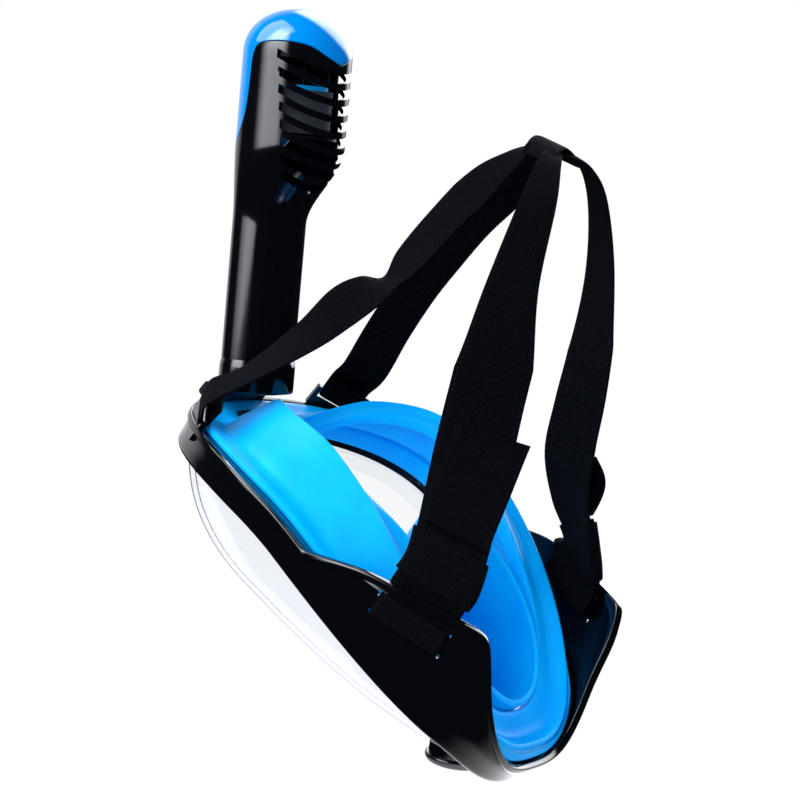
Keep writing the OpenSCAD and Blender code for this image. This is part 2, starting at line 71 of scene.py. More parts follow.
# ---- small helpers ----
def mix(a, b, t):
    return a + (b - a) * t


def smooth(t):
    u = np.clip(t, 0, 1)
    return u * u * (3 - 2 * u)


def unit(v):
    v = np.asarray(v, float)
    return v / np.linalg.norm(v, axis=-1, keepdims=True)


def soft_min(a, b, k):
    return -k * np.log(np.exp(-a / k) + np.exp(-b / k))


# ---- frames of reference, read from the record ----
ACROSS = np.array([1.0, 0, 0])
BACK = np.array(mounts["face_opening"]["axis"])
FACE_AXES = np.array([ACROSS, BACK, np.cross(ACROSS, BACK)])
TUBE_UP = np.array(joints["snorkel_slide"]["axis"])
TUBE_AXES = np.array([ACROSS, np.cross(TUBE_UP, ACROSS), TUBE_UP])
SOCKET_TOP = 12  # height of the socket's mouth in the snorkel frame
TUBE_AT = np.array(mounts["snorkel_socket_mouth"]["pos_m"]) / MM - SOCKET_TOP * TUBE_UP


def on_face(points):
    """Points in the face frame (x across, y back, z up the face) to the row frame."""
    return np.asarray(points, float) @ FACE_AXES


def on_tube(points):
    """Points in the snorkel frame (z along the tube) to the row frame."""
    return TUBE_AT + np.asarray(points, float) @ TUBE_AXES


def cad_points(node, axes=np.eye(3), origin=np.zeros(3)):
    points = np.array([v.co for v in frame["nodes"][node].data.vertices]) / MM
    return (points - origin) @ axes.T


def face_box(node):
    points = cad_points(node, FACE_AXES)
    return points.min(0), points.max(0)


def tube_box(node):
    points = cad_points(node, TUBE_AXES, TUBE_AT)
    return points.min(0), points.max(0)


# ---- meshes ----
SHARP = 40  # edges that turn by more than this many degrees stay sharp


def add_object(name, points, faces, angle=SHARP):
    """A smooth-shaded object from points in millimetres; edges that turn more than angle stay sharp."""
    mesh = bpy.data.meshes.new(name)
    mesh.from_pydata((np.asarray(points).reshape(-1, 3) * MM).tolist(), [], faces)
    shape = bmesh.new()
    shape.from_mesh(mesh)
    bmesh.ops.recalc_face_normals(shape, faces=shape.faces)
    shape.to_mesh(mesh)
    shape.free()
    shade(mesh, angle)
    obj = bpy.data.objects.new(name, mesh)
    bpy.context.scene.collection.objects.link(obj)
    return obj


def shade(mesh, angle=SHARP):
    mesh.polygons.foreach_set("use_smooth", [True] * len(mesh.polygons))
    mesh.set_sharp_from_angle(angle=math.radians(angle))


def loft(name, rings, looped=False, capped=False, angle=SHARP):
    """Skin over rings of equal counts: looped joins last to first, capped closes both ends."""
    rings = np.asarray(rings, float)
    m, n = rings.shape[:2]
    i, j = np.meshgrid(np.arange(m if looped else m - 1), np.arange(n), indexing="ij")
    above, beside = (i + 1) % m, (j + 1) % n
    quads = np.stack([i * n + j, i * n + beside, above * n + beside, above * n + j], -1)
    faces = quads.reshape(-1, 4).tolist()
    if capped:
        faces += [list(range(n)), list(range((m - 1) * n, m * n))]
    return add_object(name, rings, faces, angle)


def paint_uv(obj, layer, values):
    """Gives each vertex a pair of surface coordinates."""
    mesh = obj.data
    index = np.zeros(len(mesh.loops), np.int32)
    mesh.loops.foreach_get("vertex_index", index)
    uv = mesh.uv_layers.new(name=layer)
    uv.data.foreach_set("uv", np.asarray(values, np.float32).reshape(-1, 2)[index].ravel())


def cut(obj, cutters, angle=SHARP):
    """Cuts closed shapes out of obj and deletes them."""
    for cutter in cutters:
        step = obj.modifiers.new("cut", "BOOLEAN")
        step.operation = "DIFFERENCE"
        step.solver = "EXACT"
        step.object = cutter
    depsgraph = bpy.context.evaluated_depsgraph_get()
    mesh = bpy.data.meshes.new_from_object(obj.evaluated_get(depsgraph))
    obj.modifiers.clear()
    obj.data = mesh
    shade(mesh, angle)
    for cutter in cutters:
        bpy.data.objects.remove(cutter)


def rounded(corners, steps=5):
    """Closed outline with each corner (a, b, radius) rounded by an arc of the same number of points."""
    corners = np.asarray(corners, float)
    out = []
    for k, corner in enumerate(corners):
        here, before, after = corner[:2], corners[k - 1][:2], corners[(k + 1) % len(corners)][:2]
        if corner[2] == 0:
            out.append(here[None])
            continue
        start = here + unit(before - here) * corner[2]
        end = here + unit(after - here) * corner[2]
        t = np.linspace(0, 1, steps)[:, None]
        out.append((1 - t) ** 2 * start + 2 * t * (1 - t) * here + t ** 2 * end)
    return np.concatenate(out)


def spline(points, steps, closed=False):
    """Catmull-Rom curve through points along the first axis."""
    points = np.asarray(points, float)
    if closed:
        padded = np.concatenate([points[-1:], points, points[:2]])
    else:
        padded = np.concatenate([2 * points[:1] - points[1:2], points, 2 * points[-1:] - points[-2:-1]])
    p, q, r, s = padded[:-3], padded[1:-2], padded[2:-1], padded[3:]
    out = []
    for t in np.arange(steps) / steps:
        out.append(0.5 * (2 * q + (r - p) * t + (2 * p - 5 * q + 4 * r - s) * t * t
                          + (3 * q - p - 3 * r + s) * t ** 3))
    curve = np.stack(out, 1).reshape(-1, *points.shape[1:])
    return curve if closed else np.concatenate([curve, points[-1:]])


def stadium(w, d, count=16):
    """Oval outline with flat sides, w across and d deep, as x and y."""
    a = np.linspace(-math.pi / 2, math.pi / 2, count)
    half = np.stack([(w - d) / 2 + d / 2 * np.cos(a), d / 2 * np.sin(a)], -1)
    return np.concatenate([half, -half])


def dress(obj, body, slot, *nodes):
    """Material, body and the CAD nodes that a piece stands for."""
    obj.data.materials.clear()
    obj.data.materials.append(MATERIALS[slot])
    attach(obj, body)
    if nodes:
        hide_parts(*nodes)
    return obj


# ---- materials ----
BLACK = (0.0016, 0.0017, 0.0026)
COVER_BLUE = (0.0, 0.2, 0.56)
SILICONE_DEEP = (0.0, 0.37, 0.88)
SILICONE_LIGHT = (0.0, 0.45, 0.93)
FLAP_GREY = (0.03, 0.035, 0.05)
VALVE_BLACK = (0.004, 0.004, 0.006)
FOAM_GREY = (0.05, 0.05, 0.055)
# The second colour of each clear moulding is painted shade: a dark line painted along the upper silhouette,
# standing in for a dark reflection in the clear edge
LENS_TINT, LENS_PAINTED_SHADE = (0.9, 0.9, 0.99), (0.012, 0.03, 0.09)
DUCT_TINT, DUCT_PAINTED_SHADE = (0.42, 0.42, 0.75), (0.02, 0.03, 0.09)
LENS_FADE, DUCT_FADE = 0.97, 0.99  # slant at which the tint and the painted dark line (painted shade) are at their fullest
PAINTED_SHADE_FROM, PAINTED_SHADE_TO = -0.02, 0.035  # heights in metres between which the painted dark line sets in: painted shade on the upper silhouette only
YARN_DARK, YARN_LIGHT = (0.0008, 0.001, 0.0016), (0.003, 0.0034, 0.005)
STITCH_GREY = (0.008, 0.0085, 0.011, 1)
STITCH_AT, STITCH_HALF = 0.9, 0.012  # place and half width of the stitched line, as shares
STITCH_PITCH, STITCH_GAP = 2.2, -0.2
WEAVE_PITCH = 5.2  # radians of weave per millimetre


class Nodes:
    """Short way to build a node tree."""

    def __init__(self, tree):
        self.tree = tree
        tree.nodes.clear()

    def add(self, kind, **settings):
        node = self.tree.nodes.new(kind)
        for key, value in settings.items():
            if key.startswith("_"):
                setattr(node, key[1:], value)
            else:
                self.put(node, key.replace("_", " "), value)
        return node

    def put(self, node, key, value):
        target = node.inputs[int(key[1:])] if key[0] == "i" and key[1:].isdigit() else node.inputs[key]
        if isinstance(value, bpy.types.NodeSocket):
            self.tree.links.new(value, target)
        else:
            target.default_value = value

    def math(self, operation, a, b=0.5, c=0.5):
        return self.add("ShaderNodeMath", _operation=operation, i0=a, i1=b, i2=c).outputs[0]

    def ramp(self, factor, *stops):
        node = self.add("ShaderNodeValToRGB", Fac=factor)
        stops_in = node.color_ramp.elements
        while len(stops_in) < len(stops):
            stops_in.new(0.5)
        for element, (place, colour) in zip(stops_in, stops):
            element.position = place
            element.color = (*colour, 1) if len(colour) == 3 else colour
        return node.outputs[0]

    def noise(self, scale, detail=2.0, vector=None):
        node = self.add("ShaderNodeTexNoise", Scale=scale, Detail=detail)
        if vector is not None:
            self.put(node, "Vector", vector)
        return node.outputs["Fac"]

    def place(self):
        return self.add("ShaderNodeTexCoord").outputs["Object"]

    def bump(self, height, strength, distance):
        node = self.add("ShaderNodeBump", Height=height, Strength=strength, Distance=distance)
        return node.outputs[0]


def material(name, build):
    result = bpy.data.materials.new(name)
    result.use_nodes = True
    nodes = Nodes(result.node_tree)
    surface = build(nodes)
    nodes.add("ShaderNodeOutputMaterial", Surface=surface.outputs[0])
    return result


def gloss_plastic(colour, roughness=0.07, haze=0.06):
    """Polished moulding: fine handling marks in the roughness and a trace of texture."""
    def build(n):
        marks = n.noise(900, 3, n.place())
        grain = n.noise(2200, 1, n.place())
        return n.add("ShaderNodeBsdfPrincipled", Base_Color=(*colour, 1), IOR=1.5,
                     Roughness=n.math("MULTIPLY_ADD", marks, haze, roughness),
                     Normal=n.bump(grain, 0.03, 0.0001))
    return build


def satin_plastic(colour, roughness=0.45):
    """Dull moulding with a fine grain."""
    def build(n):
        grain = n.noise(1400, 2, n.place())
        return n.add("ShaderNodeBsdfPrincipled", Base_Color=(*colour, 1), Roughness=roughness,
                     Specular_IOR_Level=0.12, Normal=n.bump(grain, 0.05, 0.0005))
    return build


def silicone(n):
    """Blue silicone: a deep body colour, light carried through thin edges, a soft mottled sheen."""
    mottle = n.noise(170, 4, n.place())
    blotch = n.noise(38, 2, n.place())
    colour = n.ramp(blotch, (0.3, SILICONE_DEEP), (0.7, SILICONE_LIGHT))
    rough = n.math("MULTIPLY_ADD", mottle, 0.16, 0.3)
    return n.add("ShaderNodeBsdfPrincipled", Base_Color=colour, Roughness=rough, IOR=1.41,
                 Specular_IOR_Level=0.12,
                 Subsurface_Weight=0.25, Subsurface_Radius=(0.1, 0.6, 1.0), Subsurface_Scale=0.004,
                 Normal=n.bump(mottle, 0.08, 0.0006))


def clear_plastic(tint, edge, fade):
    """Clear moulding: see-through face on, tinted at a slant, with a painted dark line (painted shade in place of
    a dark reflection) at its upper silhouette.
    """
    def build(n):
        slant = n.add("ShaderNodeLayerWeight", Blend=0.5).outputs["Facing"]
        height = n.add("ShaderNodeSeparateXYZ", Vector=n.place()).outputs[2]
        # painted shade mask: on only above a set height, so the dark line is painted on the upper silhouette alone
        upper = n.add("ShaderNodeMapRange", i0=height, i1=PAINTED_SHADE_FROM, i2=PAINTED_SHADE_TO).outputs[0]
        plain = n.ramp(slant, (0.0, (0.97, 0.975, 0.985)), (0.8, (0.97, 0.975, 0.99)), (fade, tint))
        # painted shade: the colour turns dark at a slant, a painted dark reflection along the edge
        painted_dark_line = n.ramp(slant, (0.0, (0.95, 0.955, 0.96)), (0.86, (0.97, 0.975, 0.99)), (fade, edge))
        colour = n.add("ShaderNodeMix", _data_type="RGBA", Factor=upper, i6=plain, i7=painted_dark_line).outputs[2]
        through = n.add("ShaderNodeBsdfTransparent", Color=colour)
        shine = n.add("ShaderNodeBsdfGlossy", Color=(0.85, 0.85, 1, 1), Roughness=0.04)
        strength = n.math("MULTIPLY_ADD", n.math("POWER", slant, 5.0), 0.12, 0.004)
        return n.add("ShaderNodeMixShader", i0=strength, i1=through.outputs[0], i2=shine.outputs[0])
    return build


def webbing(n):
    """Woven elastic: ribs across, warp lines along, a stitched line inside each edge."""
    fine = n.add("ShaderNodeUVMap", _uv_map="weave").outputs[0]
    part = n.add("ShaderNodeSeparateXYZ", Vector=fine)
    along, over = part.outputs[0], part.outputs[1]
    ribs = n.math("SINE", n.math("MULTIPLY", along, WEAVE_PITCH))
    warp = n.math("SINE", n.math("MULTIPLY", over, WEAVE_PITCH * 0.8))
    weave = n.math("MULTIPLY", ribs, warp)
    share = n.add("ShaderNodeUVMap", _uv_map="across").outputs[0]
    side = n.math("ABSOLUTE", n.add("ShaderNodeSeparateXYZ", Vector=share).outputs[1])
    groove = n.math("COMPARE", side, STITCH_AT, STITCH_HALF)
    dashes = n.math("GREATER_THAN", n.math("SINE", n.math("MULTIPLY", along, STITCH_PITCH)), STITCH_GAP)
    stitch = n.math("MULTIPLY", groove, dashes)
    fuzz = n.noise(1500, 3, n.place())
    tone = n.ramp(fuzz, (0.35, YARN_DARK), (0.75, YARN_LIGHT))
    colour = n.add("ShaderNodeMix", _data_type="RGBA", Factor=stitch, i6=tone, i7=STITCH_GREY)
    height = n.math("MULTIPLY_ADD", stitch, -0.8, weave)
    height = n.math("ADD", height, fuzz)
    return n.add("ShaderNodeBsdfPrincipled", Base_Color=colour.outputs[2], Roughness=0.8,
                 Sheen_Weight=0.008, Sheen_Roughness=0.5, Sheen_Tint=(0.6, 0.7, 1, 1),
                 Specular_IOR_Level=0.03, Normal=n.bump(height, 1.0, 0.0004))


MATERIALS = {
    "shell_black": material("shell_black", gloss_plastic(BLACK)),
    "cover_blue": material("cover_blue", gloss_plastic(COVER_BLUE, 0.05, 0.04)),
    # both clear materials carry painted shade: a dark line painted at their upper silhouette
    "clear_lens": material("clear_lens", clear_plastic(LENS_TINT, LENS_PAINTED_SHADE, LENS_FADE)),
    "clear_duct": material("clear_duct", clear_plastic(DUCT_TINT, DUCT_PAINTED_SHADE, DUCT_FADE)),
    "silicone_blue": material("silicone_blue", silicone),
    "flap_silicone": material("flap_silicone", satin_plastic(FLAP_GREY, 0.5)),
    "valve_plastic": material("valve_plastic", satin_plastic(VALVE_BLACK)),
    "float_foam": material("float_foam", satin_plastic(FOAM_GREY, 0.7)),
    "webbing": material("webbing", webbing),
    "hook_tape": material("hook_tape", webbing),
}

# ---- outline of the mask in the face frame ----
RING_INSET = 2  # the clamp ring lies this far inside the outline
ring_low, ring_high = face_box("clamp_ring")
HALF_W = ring_high[0] + RING_INSET
BROW_Z = ring_high[2] + RING_INSET
CHIN_Z = ring_low[2] - RING_INSET
SIDE_Z = BROW_Z - HALF_W  # height of the widest point; the brow above it is round
WAIST_Z = 20  # height where the rim lies furthest back
BAND_D = 18.5
WALL = 3
LIP_N, LIP_D = 6, 3.5  # the frame's front lip
WING_BULGE = 5
BEAD = 1.1  # raised bead along the rear edge
CHEEK_POWER = 0.72  # below the widest point the outline is fuller than an ellipse
TURNED_CHIN = -108  # below this height the chin curls forward


def rim(turn, out, back):
    """Point at an angle round the outline, 90 at the brow and -90 at the chin, out from it and back."""
    turn = np.asarray(turn, float)
    s, c = np.sin(np.radians(turn)), np.cos(np.radians(turn))
    brow = s > 0
    x = np.sign(c) * (HALF_W + out) * np.abs(c) ** np.where(brow, 1, CHEEK_POWER)
    z = SIDE_Z + (np.where(brow, HALF_W, SIDE_Z - CHIN_Z) + out) * s
    return np.stack(np.broadcast_arrays(x, back, z), -1)


def rim_z(turn):
    return rim(turn, 0, 0)[..., 2]


def turn_at(z):
    return np.degrees(np.arcsin((z - SIDE_Z) / (SIDE_Z - CHIN_Z)))


def front(z):
    """How far behind the face plane the frame's front edge lies at height z."""
    high = 36 * (np.maximum(0, z - WAIST_Z) / (BROW_Z - WAIST_Z)) ** 2
    low = 13 * (np.maximum(0, WAIST_Z - z) / (WAIST_Z - CHIN_Z)) ** 1.3
    chin = 7 * (np.maximum(0, TURNED_CHIN - z) / (TURNED_CHIN - CHIN_Z)) ** 2
    return 25.5 - high - low - chin


def rear(z):
    """How far back the frame's band reaches at height z, wings left out."""
    return front(z) + BAND_D - 5.5 * (np.maximum(0, -90 - z) / 47) ** 2


def wing(z):
    """How far back the strap wing reaches at height z."""
    top = soft_min(45 + 0.78 * (4 - z), 68.5 + 0.27 * (-28 - z), 3.5)
    return soft_min(top, 20 + 1.5 * (z - CHIN_Z), 3.5)


def edge_back(z):
    """The frame's rear edge, band and wings blended."""
    return -soft_min(-(rear(z) + 2), -wing(z), 0.8)


def outer_n(y, z):
    """How far the frame's outer face stands outside the outline."""
    flare = 1.5 + 2 * smooth((y - front(z) - LIP_D) / (BAND_D - LIP_D))
    u = np.clip((y - rear(z)) / 42, 0, 1)
    return flare + 4 * WING_BULGE * mix(-0.5, 1, smooth((z + 120) / 45)) * u * (1 - u)


def even_turns(count, start=-90, end=270):
    """Angles evenly spaced along the outline."""
    fine = np.linspace(start, end, 20001)
    run = np.concatenate([[0], np.cumsum(np.linalg.norm(np.diff(rim(fine, 0, 0), axis=0), axis=1))])
    return np.interp(np.linspace(0, run[-1], count, endpoint=end - start < 360), run, fine)


def rim_loft(name, turns, profiles, looped=True, capped=False, angle=SHARP):
    """Sweeps a profile of (out, back) points round the outline."""
    rings = [on_face(rim(t, p[:, 0], p[:, 1])) for t, p in zip(turns, profiles)]
    return loft(name, rings, looped, capped, angle)


# ---- frame ----
BAND_POINTS = 18  # points from front to back along the band's outer face
FRAME_TURNS = 900  # sections of the frame round the outline


def frame_profile(turn):
    """Section of the frame as (out, back) points: front lip, band and the bead along its rear edge."""
    z = float(rim_z(turn))
    f, b = float(front(z)), float(edge_back(z))
    shelf = f + LIP_D
    depths = np.linspace(shelf + 2.5, b - 5.2, BAND_POINTS)
    outer = [(float(outer_n(y, z)), y, 0) for y in depths]
    inner = [(float(outer_n(y, z)) - WALL, y, 0) for y in depths[:0:-1]]
    end = float(outer_n(b, z))
    bead = [(end + 0.1, b - 4.4, 0.5), (end + BEAD, b - 3.3, 0.6),
            (end + BEAD, b, 1.2), (end - WALL, b, 1.2)]
    corners = [(-LIP_N, f, 0.8), (1.0, f - 0.5, 3.4)] + outer + bead + inner
    corners += [(-1.7, shelf, 1.0), (-LIP_N, shelf, 0.7)]
    return rounded(corners)


SLOT_L, SLOT_W, BAR_W = 43.5, 3.2, 9
SLOT_ENDS = ((-38, 57.4), (-80, 67))  # height and depth of the upper and lower end of the pair of slots
WING_OUT = (1, 0.05, -0.26)  # roughly out of the wing at the slots
SLOT_R = 1.2
CUT_DEPTH = 20
slot_high, slot_low = (rim(turn_at(z), outer_n(y, z), y) for z, y in SLOT_ENDS)
SLOT_MID = (slot_high + slot_low) / 2
W_DIR = unit(slot_high - slot_low)  # along the slots
V_DIR = unit(np.cross(W_DIR, WING_OUT))
U_DIR = np.cross(V_DIR, W_DIR)  # out of the wing


def box_between(name, low, high, axes, origin, radius=0.0):
    """Box with rounded long edges, in its own axes (rows of axes) about an origin, in the face frame."""
    corners = [(low[1], low[2], radius), (high[1], low[2], radius), (high[1], high[2], radius),
               (low[1], high[2], radius)]
    outline = rounded(corners) if radius else np.array([c[:2] for c in corners])
    rings = []
    for x in (low[0], high[0]):
        local = np.column_stack([np.full(len(outline), x), outline])
        rings.append(on_face(origin + local @ axes))
    return loft(name, rings, capped=True)


def mirrored(points, side):
    return np.asarray(points) * [side, 1, 1]


def build_frame():
    """Black frame with its wings and the two slots in each wing."""
    turns = even_turns(FRAME_TURNS)
    shell = rim_loft("frame_shell", turns, [frame_profile(t) for t in turns])
    cutters = []
    for side in SIDES.values():
        axes = mirrored([U_DIR, V_DIR, W_DIR], side)
        for row in (-1, 1):
            middle = row * (BAR_W + SLOT_W) / 2
            low = [-CUT_DEPTH, middle - SLOT_W / 2, -SLOT_L / 2]
            high = [CUT_DEPTH, middle + SLOT_W / 2, SLOT_L / 2]
            cutters.append(box_between("slot", low, high, axes, mirrored(SLOT_MID, side), SLOT_R))
    cut(shell, cutters)
    dress(shell, "mask", "shell_black", "frame")


UPPER_W = 26  # width of the upper straps
TAB_TURN, TAB_L, TAB_BAR = 47, 11.5, 3
TAB_T, TAB_ROOT, TAB_EAR, TAB_HOLE, TAB_R = 3, 3, 4, 3.6, 1.2
TAB_AT = rim(TAB_TURN, 2, rear(rim_z(TAB_TURN)) + 1)
TAB_OUT = np.array([math.cos(math.radians(TAB_TURN)), 0, math.sin(math.radians(TAB_TURN))])
TAB_ALONG = np.array([TAB_OUT[2], 0, -TAB_OUT[0]])


def build_tabs():
    """The two brackets behind the brow that hold the upper straps."""
    for name, side in SIDES.items():
        axes = mirrored([TAB_OUT, [0, 1, 0], TAB_ALONG], side)
        origin = mirrored(TAB_AT, side)
        half = UPPER_W / 2 + TAB_EAR
        tab = box_between("strap_tab_" + name, [-TAB_T / 2, -TAB_ROOT, -half], [TAB_T / 2, TAB_L, half],
                          axes, origin, TAB_R)
        slot_y = TAB_L - TAB_BAR
        reach = UPPER_W / 2 + 1
        low, high = [-3 * TAB_T, slot_y - TAB_HOLE, -reach], [3 * TAB_T, slot_y, reach]
        cut(tab, [box_between("hole", low, high, axes, origin, 1.0)])
        dress(tab, "mask", "shell_black")


# ---- lens and drain valve ----
LENS_T = 2.2
LENS_MID = 10  # height of the dome's pole
LENS_REACH = 23  # how far the dome's pole stands in front of the face plane
LENS_LEAN = 0.12  # the dome reaches further forward the higher it is
LENS_BEND = 5  # power of the dome's curve: flat in the middle, steep at the rim
GAP = 0.25
SEAT_D = LIP_D + GAP + LENS_T + 0.3 + GAP
LENS_TURNS = 360
LENS_SHARES = 1 - (1 - np.linspace(0.05, 1, 48)) ** 1.5
BORE_R = 15.7  # hole in the lens for the drain valve
DRAIN_AT = np.array([0, -10, -101])
DRAIN_TILT = 125
DRAIN_D, COVER_FROM, COVER_H, COVER_RIM, COVER_T = 26, 5.2, 5, 4, 3


def dome(turns, t, out, deep):
    """Ring of the lens dome at share t of the way from its pole to the rim."""
    edge = rim(turns, out, 0)
    z = mix(LENS_MID, edge[:, 2], t)
    y = deep + mix(-LENS_REACH - LENS_LEAN * z, front(rim_z(turns)), t ** LENS_BEND)
    return np.stack([t * edge[:, 0], y, z], -1)


def drain_frame(points):
    """Points about the drain valve's axis (z out of the mask) to the row frame."""
    s, c = math.sin(math.radians(DRAIN_TILT)), math.cos(math.radians(DRAIN_TILT))
    axes = np.array([[1, 0, 0], [0, c, s], [0, -s, c]])
    return on_face(DRAIN_AT + np.asarray(points) @ axes)


def drain_turned(profile, count):
    """Rings round the drain valve's axis, one for each (radius, height) of the profile."""
    a = np.linspace(0, 2 * math.pi, count, endpoint=False)
    return [drain_frame(np.column_stack([r * np.cos(a), r * np.sin(a), np.full(count, z)]))
            for r, z in profile]


def build_drain_cover():
    """Round cap over the drain valve."""
    low, high, radius = COVER_FROM, COVER_FROM + COVER_H, DRAIN_D / 2
    profile = rounded([(radius, low, 0.4), (radius + COVER_RIM, low, 1.0), (radius + COVER_RIM, high, 3.6),
                       (0.3, high + 0.2, 0), (0.3, low + COVER_T, 0), (radius, low + COVER_T, 0.8)])
    cover = loft("drain_cap", drain_turned(profile, 96), looped=True)
    dress(cover, "mask", "shell_black", "drain_cover")


def build_lens():
    """Clear dome with the flange that sits behind the frame's lip, bored for the drain valve."""
    turns = even_turns(LENS_TURNS)
    f = front(rim_z(turns))
    flange = [(-LIP_N - 0.4, LIP_D + GAP), (-2.4, LIP_D + GAP), (-2.4, SEAT_D - GAP),
              (-LIP_N - 3, SEAT_D - GAP)]
    rings = [dome(turns, t, -LIP_N - 1, 0) for t in LENS_SHARES]
    rings += [rim(turns, out, f + deep) for out, deep in flange]
    rings += [dome(turns, t, -LIP_N - 3.4, LENS_T) for t in LENS_SHARES[::-1]]
    lens = loft("lens_dome", on_face(rings), capped=True)
    bore = loft("bore", drain_turned([(BORE_R, -30), (BORE_R, 30)], 64), capped=True)
    cut(lens, [bore])
    dress(lens, "mask", "clear_lens", "lens")


# ---- skirt and nose pocket ----
SKIRT_T = 2.8
SKIRT_D = 80  # depth of the sealing edge at the temples
BROW_DIP = 8
SOFT_HUMP, HUMP_AT, HUMP_SPREAD = 7, 50, 20  # the limp silicone stands up a little on the left temple
SKIRT_TURNS = 480


def crest_y(z):
    """Depth of the sealing edge behind the face plane; it dips at the brow."""
    high = 28 * (np.maximum(0, z - 35) / 80) ** 2 + BROW_DIP * smooth((z - 108) / 28)
    low = 52 * (np.maximum(0, 35 - z) / 172) ** 2.1
    return np.maximum(rear(z) + 9, SKIRT_D - high - low)


def crest_n(turn):
    """How far outside the outline the sealing edge lies; it is drawn in, so below zero."""
    z = rim_z(turn)
    low = -24 + 20 * (np.maximum(0, 40 - z) / 177) ** 1.5
    return low - 8 * np.exp(-((turn - 90) / 25) ** 2)


def skirt_profile(turn):
    """Section of the skirt: clamped foot, outer wall, sealing edge and the flap that folds inwards."""
    z = float(rim_z(turn))
    f, b = float(front(z)), float(rear(z))
    c = float(crest_n(turn))
    y = float(crest_y(z)) + SOFT_HUMP * math.exp(-((turn - HUMP_AT) / HUMP_SPREAD) ** 2)
    low = float(smooth((30 - z) / 90))
    w, tip, sag = mix(7, 21, low), y + mix(-5, 3, low), mix(0, 4, low)
    v, t = c / 2 - 2, SKIRT_T
    points = [(-2.2, f + SEAT_D), (-2.2, f + SEAT_D + 3), (-6.8, f + SEAT_D + 3), (-6.8, b - 1.5),
              (-2.6, b + 1.6), (-1.8, b + 3.2), (-3.5, b + 5.5), (v, b + 7.5),
              (mix(v, c, 0.5), mix(b + 7.5, y, 0.5)), (c + 0.3, y - 4), (c - 2.2, y + 0.6),
              (c - w / 2, mix(y, tip, 0.5) - sag), (c - w, tip), (c - w - 2.2, tip - 1.2),
              (c - w - 3.0, tip - 7), (c - w - 0.8, tip - 7), (c - w + 0.4, tip - 3.2),
              (c - w / 2, mix(y, tip, 0.5) - sag - t), (c - 4.5, y - t - 1.4),
              (mix(v, c, 0.5) - t, mix(b + 5, y - t - 0.4, 0.5)), (v - t, b + 5), (-6.5, b + 3),
              (-9.6, b - 3), (-9.6, f + SEAT_D)]
    return spline(points, 5, closed=True)


def build_skirt():
    turns = even_turns(SKIRT_TURNS)
    skirt = rim_loft("skirt_silicone", turns, [skirt_profile(t) for t in turns], angle=70)
    dress(skirt, "mask", "silicone_blue", "skirt")


pocket_low, pocket_high = face_box("nose_pocket")
POCKET_MID = -54
POCKET_W = 39
POCKET_H = (pocket_high[2] - pocket_low[2]) / 2
POCKET_FLOOR = pocket_low[1]
POCKET_TAPER = 0.12  # the cup is narrower at the nose than at the chin
FLOOR_SHARES = (0.05, 0.3, 0.5, 0.65, 0.78)
FOOT_SHARE = 0.86


def pocket(turns, share, y, inset=0):
    """Ring of the nose and mouth cup at a share of its size, moved in by inset."""
    a = np.radians(turns)
    w, h = POCKET_W * share - inset, POCKET_H * share - inset
    x = w * np.cos(a) * (1 - POCKET_TAPER * np.sin(a))
    return np.stack(np.broadcast_arrays(x, y, POCKET_MID + h * np.sin(a)), -1)


def pocket_wall(turns, u, inset):
    """Wall of the pocket at share u of the way from its floor to its rim."""
    foot = pocket(turns, FOOT_SHARE, POCKET_FLOOR + 4, inset)
    top = pocket(turns, 1, 0, inset)
    top[:, 1] = crest_y(top[:, 2]) - 7
    return mix(foot, top, u)


def build_pocket():
    turns = np.linspace(0, 360, 240, endpoint=False)
    rise = np.linspace(0.15, 1, 12)
    rings = [pocket(turns, s, POCKET_FLOOR) for s in FLOOR_SHARES]
    rings += [pocket_wall(turns, u, 0) for u in rise]
    rings += [pocket_wall(turns, u, SKIRT_T) for u in rise[::-1]]
    rings += [pocket(turns, s, POCKET_FLOOR + SKIRT_T, 1) for s in FLOOR_SHARES[::-1]]
    cup = loft("nose_pocket_silicone", on_face(spline(rings, 3)), capped=True, angle=70)
    dress(cup, "mask", "silicone_blue", "nose_pocket")


# ---- exhale ducts ----
DUCT_SECTION = ((-13, 2, 0.6), (-13, 7, 0.8), (-22, 6, 0.8), (-22, -3, 0.4), (-20.8, -2.6, 0.4),
                (-20.8, 4.8, 0.5), (-14.2, 5.6, 0.5), (-14.2, 2.2, 0.4))
DUCT_TURNS = np.linspace(-24, 66, 80)


def build_ducts():
    """Channels that lead exhaled air up along the lens rim, open towards the lens."""
    shape = rounded(DUCT_SECTION, 4)
    for name, side in SIDES.items():
        rings = [rim(t, shape[:, 0], shape[:, 1] + front(rim_z(t))) for t in DUCT_TURNS]
        duct = loft("duct_" + name, on_face(mirrored(rings, side)), capped=True)
        dress(duct, "mask", "clear_duct", "air_duct_" + name)


# ---- snorkel ----
TUBE_W, TUBE_D = 46, 34
HEAD_W = tube_box("snorkel_tube")[1][0] * 2
HEAD_Y = 10  # the head's axis lies this far behind the tube's
FLARE_FROM, FLARE_TO = 90, 134
TOP_Z = tube_box("snorkel_front_cover")[1][2]
DOME_H = 26
DOME_POWER = 2.15
TUBE_POWER, HEAD_POWER = 0.78, 0.92  # one is an ellipse, less is squarer
SHELL_FOOT = SOCKET_TOP + GAP
TUBE_WALL = 2.5
# Edge of the front cover as (angle from the side towards the back, height), up the front and over the back
SEAM = ((-90, 106), (-76, 110), (-60, 121), (-45, 132), (-31, 141), (-23.5, 149), (-20, 160),
        (-18.5, 172), (-17, 181), (-12, 187), (-2, 189.5), (12, 190.3), (30, 190.2), (50, 188.5),
        (70, 184), (90, 180))
SEAM_GAP = 0.45
TIP = 0.001  # the top rings stop just short of the pole


